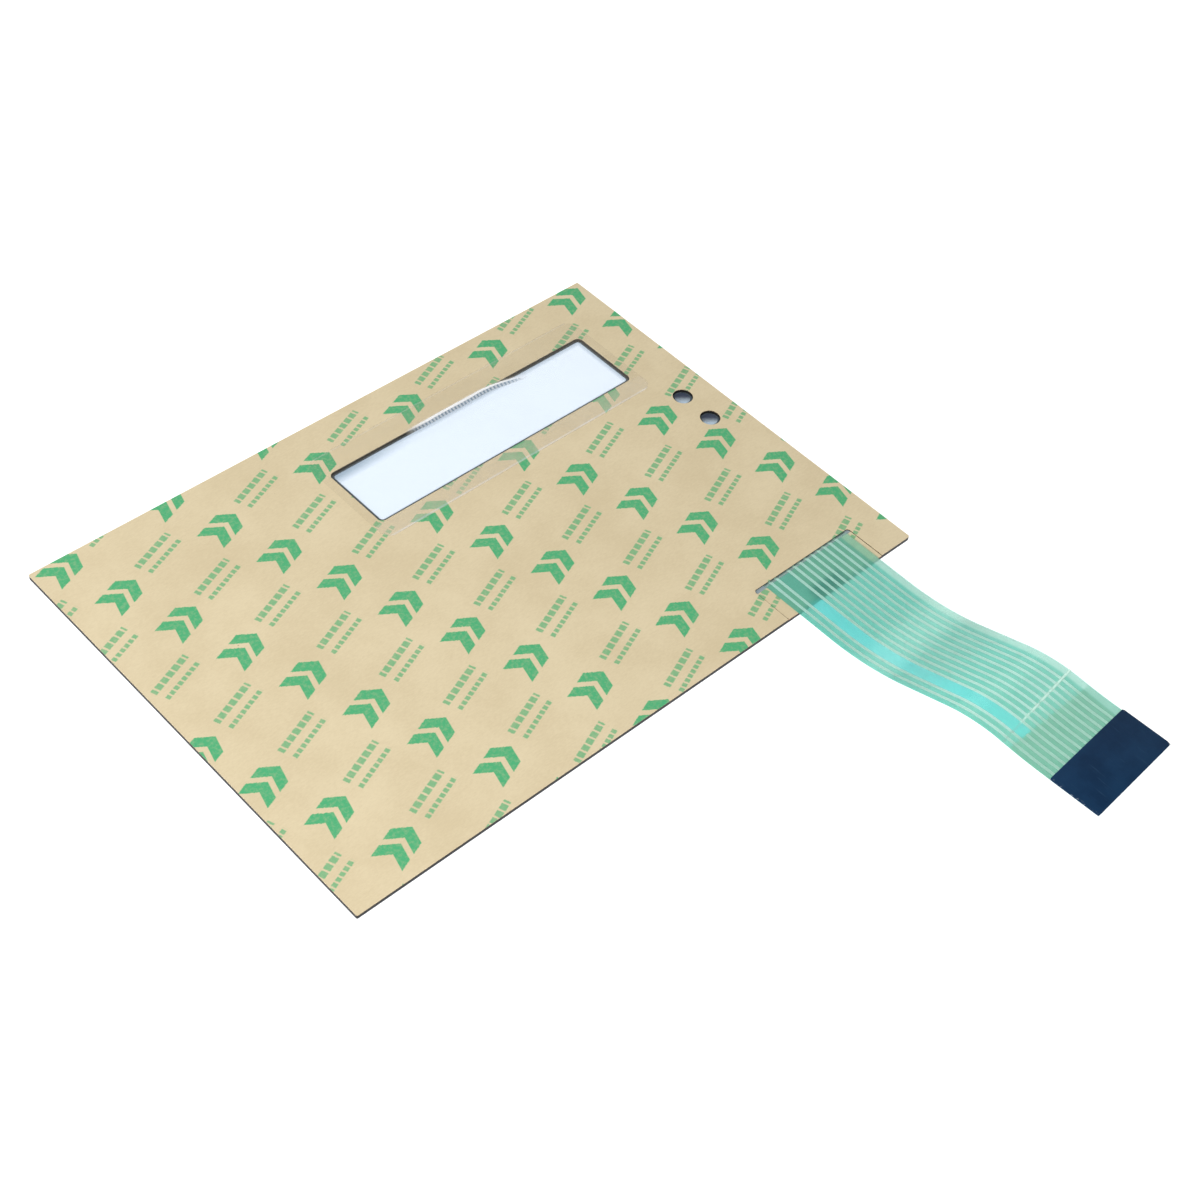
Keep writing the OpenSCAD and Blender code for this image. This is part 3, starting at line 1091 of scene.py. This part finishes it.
@dataclass
class WindowCover:
    """The loose clear film over the display window, folded up along the window's upper edge, in millimetres."""

    finish: WindowHaze = WindowHaze()
    centre: Pair = (36.1, 41.75)
    size: Pair = (107.6, 39.7)
    corner: float = 4.0
    z: float = 1.57
    thickness: float = 0.06
    cell: float = 1.3
    fine_cell: float = 0.25
    fine_rows: Pair = (49.0, 57.5)
    fold_height: float = 0.8
    fold_width: float = 0.8
    fold_starts: Pair = (-4.0, 2.0)
    fold_rise: float = 16.0
    lift_height: float = 0.25
    lift_rows: tuple[Pair, Pair] = ((44.0, 52.0), (61.4, 55.4))
    lift_columns: tuple[Pair, Pair] = ((-14.0, 0.0), (80.0, 40.0))
    smooth_angle: float = 50.0

    def build(self) -> None:
        """Models and dresses the film."""
        level = self.z + 2 * HAIR
        work = Work.plane("window_cover", self.size, (*self.centre, level))
        work.round_off(self.corner)
        with work.editing():
            for axis, normal in enumerate(((1.0, 0.0, 0.0), (0.0, 1.0, 0.0))):
                for cut in self.cuts(axis):
                    spot = [0.0, 0.0, level * MM]
                    spot[axis] = cut * MM
                    bpy.ops.mesh.select_all(action="SELECT")
                    bpy.ops.mesh.bisect(plane_co=spot, plane_no=normal)
        groups = work.piece.vertex_groups
        group = groups.new(name="lift")
        for vertex in work.piece.data.vertices:
            weight = self.lift(vertex.co.x / MM, vertex.co.y / MM)
            if weight > 0.0:
                group.add([vertex.index], weight, "REPLACE")
        strength = self.fold_height * MM
        work.modify("DISPLACE", direction="Z", mid_level=0.0, strength=strength, vertex_group=group.name)
        work.thicken(self.thickness)
        groups.clear()
        paint(work.piece, self.finish.material())
        work.fix(Slot.CLEAR_FILM, "window_film", angle=self.smooth_angle)

    def cuts(self, axis: int) -> list[float]:
        """Lists where the film is cut, closer together along the fold.

        Args:
            axis: The axis that the cuts cross, 0 for X and 1 for Y.

        Returns:
            The places along that axis.
        """
        low, high = (self.centre[axis] + half * self.size[axis] for half in (-0.5, 0.5))
        places = []
        here = low
        while True:
            fine = axis == 1 and self.fine_rows[0] <= here < self.fine_rows[1]
            here += self.fine_cell if fine else self.cell
            if here > high - self.fine_cell:
                return places
            places.append(here)

    def lift(self, x: float, y: float) -> float:
        """Gives how far the film stands off at a place.

        Args:
            x: The place along X.
            y: The place along Y.

        Returns:
            The share of the fold's height, from 0 to 1.
        """
        start, end = (there + off for there, off in zip(self.finish.fold_ends, self.fold_starts))
        reach = self.rise(x, start, start + self.fold_rise) * self.rise(x, end, end - self.fold_rise)
        ridge_y = self.finish.fold_y - self.finish.fold_drift * self.rise(x, *self.finish.drift_run)
        off = (y - ridge_y) / self.fold_width
        fold = reach * math.exp(-off * off)
        swell = self.lift_height / self.fold_height
        for place, spans in ((y, self.lift_rows), (x, self.lift_columns)):
            for span in spans:
                swell *= self.rise(place, *span)
        return min(1.0, fold + swell * (1.0 - fold))

    @staticmethod
    def rise(place: float, low: float, high: float) -> float:
        """Rises smoothly from 0 to 1 as a place goes from one end of a span to the other."""
        t = min(1.0, max(0.0, (place - low) / (high - low)))
        return t * t * (3.0 - 2.0 * t)


@dataclass
class CircuitTail:
    """The circuit film with its traces and insulating ink, swept along the tail's course, in millimetres."""

    film: TailFilm = TailFilm()
    coat: TailCoat = TailCoat()
    edge_film: SheetEdge = SheetEdge(
        "smoky_rear_film_edge", (0.05, 0.053, 0.05), (0.03, 0.033, 0.033), 500.0, 0.4, shine=0.15
    )
    silver: SheetEdge = SilverInk(
        "printed_silver", (0.75, 0.90, 0.84), (0.65, 0.80, 0.74), 1500.0, 0.45, 0.0, 0.5
    )
    tail_x: float = 73.5
    tail_w: float = 34.94
    slit_y: float = -60.0
    panel_low: float = -74.0
    film_z: float = 1.075
    film_t: float = 0.125
    silver_t: float = 0.02
    coat_t: float = 0.03
    coat_margin: float = 0.2
    trace_w: float = 1.0
    spare_offset: float = -9.99
    slit_r: float = 0.8
    slit_slope: float = 25.0
    slit_rise: float = 0.45
    across: int = 24

    def __post_init__(self) -> None:
        """Works out the course from the slit to the stiffened end."""
        turn = math.radians(self.slit_slope)
        ramp = (self.slit_rise - 2 * self.slit_r * (1 - math.cos(turn))) / math.sin(turn)
        self.root = [
            Step(Move.BEND, self.slit_r, self.slit_slope, 8),
            Step(Move.RUN, ramp, cuts=2),
            Step(Move.BEND, self.slit_r, -self.slit_slope, 8),
        ]
        self.free = [
            Step(Move.RUN, 25.0, cuts=12),
            Step(Move.BEND, 83.5, 19.3, 30),
            Step(Move.RUN, 15.1, cuts=8),
            Step(Move.BEND, 49.6, -21.4, 30),
            Step(Move.RUN, 3.5, cuts=2),
        ]
        self.lead = [Step(Move.SWING, 140.0, 3.8, 8), Step(Move.RUN, 3.2, cuts=2)]
        self.end = [Step(Move.RUN, 16.0, cuts=8)]
        slit = (self.tail_x, self.slit_y, self.film_z)
        self.start = Station(*map(Vector, (slit, (0.0, -1.0, 0.0), (1.0, 0.0, 0.0), (0.0, 0.0, 1.0))))

    def station_after(self, steps: list[Step]) -> Station:
        """Gives the station after the first steps of the course."""
        return reduce(lambda here, step: step.walk(here), steps, self.start)

    @staticmethod
    def follow(here: Station, steps: list[Step]) -> None:
        """Carries the selected rim along the course.

        Args:
            here: The station that it starts at.
            steps: The steps that it follows.
        """
        for step in steps:
            step.sweep(here)
            here = step.walk(here)

    def build(self) -> None:
        """Models and dresses the film, the traces and the ink."""
        self.build_film()
        self.build_traces()
        self.build_coat()

    def on_tail(self, spot: Vector) -> bool:
        """Tells whether a place belongs to the tail and not to the panel."""
        near = abs(spot.x / MM - self.tail_x) < self.tail_w / 2 + 0.1
        return spot.y / MM < (self.slit_y + 0.001 if near else self.panel_low - 0.5)

    def build_film(self) -> None:
        """Sweeps the film's cut end along the course in fine steps, as one piece with the panel's rear film."""
        work = Work.from_node("rear_circuit_film", "circuit_film")
        self.resweep(work, self.across)
        corners = work.piece.data.vertices
        work.split(
            self.edge_film.material(),
            self.film.material(),
            lambda face: all(self.on_tail(corners[v].co) for v in face.vertices),
        )
        work.fix(Slot.CIRCUIT_FILM, "rear_circuit_film")

    def resweep(self, work: Work, across: int = 1) -> None:
        """Takes a copied solid's tail off at the slit and sweeps it anew.

        Args:
            work: The copied solid.
            across: The cells across the film, or 1 to leave the rim as it is.
        """
        with work.editing("FACE"):
            work.pick("faces", lambda f: all(self.on_tail(v.co) for v in f.verts))
            bpy.ops.mesh.delete(type="FACE")
        with work.editing("EDGE"):
            if across > 1:
                work.pick("edges", lambda e: e.is_boundary and e.calc_length() > self.tail_w / 2 * MM)
                bpy.ops.mesh.subdivide(number_cuts=across - 1)
                bpy.ops.mesh.select_all(action="DESELECT")
            work.pick("edges", lambda e: e.is_boundary)
            if across > 1:
                self.thin_rim(work)
            self.follow(self.start, self.root + self.free + self.lead + self.end)
            bpy.ops.mesh.edge_face_add()
        work.turn_outward()

    def thin_rim(self, work: Work) -> None:
        """Draws the film's rim in by a hair above and below, so that what touches it shows through.

        Args:
            work: The film, in edit mode with its rim selected.
        """
        for vertex in bmesh.from_edit_mesh(work.piece.data).verts:
            if vertex.select:
                vertex.co.z += math.copysign(HAIR * MM, self.film_z + self.film_t / 2 - vertex.co.z / MM)
        bmesh.update_edit_mesh(work.piece.data)

    def build_traces(self) -> None:
        """Sweeps the eleven lines' cut ends along the course, and the spare stub along its last stretch."""
        work = Work.from_node("rear_silver", "circuit_traces")
        self.resweep(work)
        sides = (self.spare_offset - self.trace_w / 2, self.spare_offset + self.trace_w / 2)
        start = self.station_after(self.root + self.free)
        stub = self.ribbon("spare_stub", start, self.lead + self.end, sides, (-self.silver_t, 0.0))
        work.take()
        stub.piece.select_set(True)
        bpy.ops.object.join()
        paint(work.piece, self.silver.material())
        work.fix(Slot.SILVER, "rear_silver")

    def build_coat(self) -> None:
        """Sweeps the insulating ink from the slit to the stiffener."""
        edge = self.tail_w / 2 - self.coat_margin
        heights = (-self.silver_t - self.coat_t, -self.silver_t - HAIR)
        start = self.station_after(self.root)
        work = self.ribbon("insulating_ink", start, self.free + self.lead, (-edge, edge), heights)
        paint(work.piece, self.coat.material())
        work.fix(Slot.INSULATION, "tail_insulation")

    def ribbon(self, name: str, start: Station, steps: list[Step], sides: Pair, heights: Pair) -> Work:
        """Sweeps a flat cross-section along steps of the course.

        Args:
            name: The piece's name.
            start: The station that it starts at.
            steps: The steps that it follows.
            sides: Its lowest and highest place across the tail.
            heights: Its lowest and highest place above the traced face.

        Returns:
            The new piece.
        """
        work = Work.plane(name, (sides[1] - sides[0], heights[1] - heights[0]))
        middle = start.point + start.side * (sum(sides) / 2) + start.up * (sum(heights) / 2)
        stand = Matrix((start.side, start.up, -start.forward)).transposed().to_4x4()
        work.piece.matrix_world = Matrix.Translation(middle * MM) @ stand
        work.settle()
        with work.editing("FACE", whole=True):
            self.follow(start, steps)
        work.turn_outward()
        return work


@dataclass
class StiffenedEnd:
    """The stiffener, its adhesive and the carbon contact fingers."""

    plate: StiffenerPlate = StiffenerPlate()
    adhesive: SheetEdge = SheetEdge(
        "stiffener_adhesive_edge", (0.50, 0.53, 0.54), (0.40, 0.43, 0.45), 500.0, 0.3
    )
    carbon: SheetEdge = SheetEdge("carbon_fingers", (0.020, 0.020, 0.021), (0.010, 0.010, 0.011), 2200.0, 0.62)
    clip: float = 1.2
    corner: float = 0.7
    rim: float = 0.05
    rim_angle: float = math.radians(60.0)
    flat_angle: float = math.radians(1.0)

    def build(self) -> None:
        """Models the stiffener with eased corners and dresses the end."""
        paint_node("stiffener_adhesive", self.adhesive.material())
        paint_node("contact_carbon", self.carbon.material())
        work = Work.from_node("tail_stiffener", "stiffener_plate")
        with work.editing("FACE", whole=True):
            bpy.ops.mesh.dissolve_limited(angle_limit=self.flat_angle)
        far = max((v.co.copy() for v in work.piece.data.vertices), key=lambda c: c.x - c.y)
        for offset, segments, test in (
            (self.clip, 3, lambda e: self.upright(e) and self.beside(e, far)),
            (self.corner, 4, lambda e: self.upright(e) and not self.beside(e, far)),
            (self.rim, 2, lambda e: e.calc_face_angle(0.0) > self.rim_angle),
        ):
            with work.editing("EDGE"):
                work.pick("edges", test)
                bpy.ops.mesh.bevel(offset=offset * MM, segments=segments, affect="EDGES")
        work.turn_outward()
        paint(work.piece, self.plate.material())
        work.fix(Slot.STIFFENER, "tail_stiffener")

    @staticmethod
    def upright(edge: bmesh.types.BMEdge) -> bool:
        """Tells whether an edge stands on the plate's face."""
        run = edge.verts[1].co - edge.verts[0].co
        return abs(run.z) > 0.9 * run.length and run.length < 1.0 * MM

    def beside(self, edge: bmesh.types.BMEdge, corner: Vector) -> bool:
        """Tells whether an edge lies at a corner of the plate."""
        return min((v.co - corner).length for v in edge.verts) < 2 * self.clip * MM


@dataclass
class Viewpoint:
    """The camera, in degrees and millimetres."""

    azimuth: float = -47.827
    elevation: float = 47.88
    roll: float = 6.721
    distance: float = 602.295
    target: tuple[float, float, float] = (14.777, -34.435, 1.57)
    lens: float = 63.014
    sensor: float = 36.0
    nearest: float = 10.0

    def build(self) -> None:
        """Sets up the camera."""
        az, el, roll = (math.radians(a) for a in (self.azimuth, self.elevation, self.roll))
        back = Vector((math.sin(az) * math.cos(el), -math.cos(az) * math.cos(el), math.sin(el)))
        level = (-back).cross(Vector((0.0, 0.0, 1.0))).normalized()
        upward = level.cross(-back)
        right = math.cos(roll) * level + math.sin(roll) * upward
        top = -math.sin(roll) * level + math.cos(roll) * upward
        lens = bpy.data.cameras.new("viewpoint")
        lens.sensor_fit = "HORIZONTAL"
        lens.sensor_width = self.sensor
        lens.lens = self.lens
        lens.clip_start = self.nearest * MM
        lens.dof.use_dof = False
        camera = bpy.data.objects.new("viewpoint", lens)
        bpy.context.scene.collection.objects.link(camera)
        turn = Matrix((right, top, back)).transposed().to_4x4()
        camera.matrix_world = Matrix.Translation((Vector(self.target) + back * self.distance) * MM) @ turn
        bpy.context.scene.camera = camera
        LOG.info("viewpoint: %.1f mm lens", self.lens)


@dataclass(frozen=True)
class SoftBox:
    """A soft white lamp: its place and aim in metres, its size and its power in watts."""

    name: str
    place: tuple[float, float, float]
    size: Pair
    power: float
    aim: tuple[float, float, float] = (0.02, -0.04, 0.0)

    def build(self) -> None:
        """Hangs the lamp."""
        lamp = bpy.data.lights.new(self.name, "AREA")
        lamp.shape = "RECTANGLE"
        lamp.size, lamp.size_y = self.size
        lamp.energy = self.power
        holder = bpy.data.objects.new(self.name, lamp)
        holder.location = self.place
        holder.rotation_euler = (Vector(self.aim) - Vector(self.place)).to_track_quat("-Z", "Y").to_euler()
        holder.visible_camera = False
        bpy.context.scene.collection.objects.link(holder)


@dataclass
class Studio:
    """A pale floor, in millimetres, soft lamps and a bright surround."""

    floor_z: float = -0.1
    floor_size: float = 6000.0
    floor_colour: Colour = (0.36, 0.36, 0.365)
    floor_glow: float = 1.0
    white: Colour = (1.0, 1.0, 1.0)
    sky: float = 0.26
    rim: float = 1.05
    rim_heights: Pair = (0.12, 0.5)
    lamps: tuple[SoftBox, ...] = (
        SoftBox("key_lamp", (-0.62, -0.32, 0.62), (0.6, 0.6), 7.0),
        SoftBox("back_lamp", (-0.50, 0.66, 0.52), (0.4, 0.4), 2.5),
        SoftBox("top_lamp", (-0.10, 0.0, 1.30), (1.2, 1.2), 2.8),
        SoftBox("strip_lamp", (0.60, 0.62, 0.62), (0.55, 0.2), 0.28, (0.075, -0.102, 0.004)),
    )

    def build(self) -> None:
        """Sets up floor, lamps, surround and tone."""
        work = Work.plane("floor", (self.floor_size, self.floor_size), (0.0, 0.0, self.floor_z))
        with work.editing("FACE", whole=True):
            bpy.ops.mesh.inset(thickness=self.floor_size / 3 * MM)
        floor = work.piece
        paint(floor, self.floor_material())
        for lamp in self.lamps:
            lamp.build()
        bpy.context.scene.world = self.surround()
        bpy.context.scene.view_settings.view_transform = "Standard"
        LOG.info("studio: %d lamps", len(self.lamps))

    def floor_material(self) -> Finish:
        """Builds the floor's pale, faintly lit surface.

        Returns:
            The material.
        """
        net = NodeNet.named("pale_floor")
        return net.solid(
            Base_Color=self.floor_colour,
            Roughness=net.ramp(net.noise(3.0), 0.3, 0.7, 0.85, 0.9),
            Specular_IOR_Level=0.1,
            Emission_Color=self.white,
            Emission_Strength=self.floor_glow,
        )

    def surround(self) -> bpy.types.World:
        """Makes a surround that is bright at the horizon and dimmer overhead.

        Returns:
            The world.
        """
        net = NodeNet(bpy.data.worlds.new("surround"))
        _, _, height = net.parts(net.node("TexCoord", "Generated"))
        glow = net.ramp(height, *self.rim_heights, self.rim, self.sky)
        return net.finished(net.node("Background", "Background", {"Color": self.white, "Strength": glow}), "World")


def main() -> None:
    """Builds the camera, the studio and the keypad's dress, in order."""
    logging.basicConfig(level=logging.INFO, format="%(name)s: %(message)s")
    for part in (
        Viewpoint(),
        Studio(),
        LinerSheet(),
        Laminate(),
        FrontFace(),
        WindowCover(),
        CircuitTail(),
        StiffenedEnd(),
    ):
        part.build()


if __name__ == "__main__":
    main()
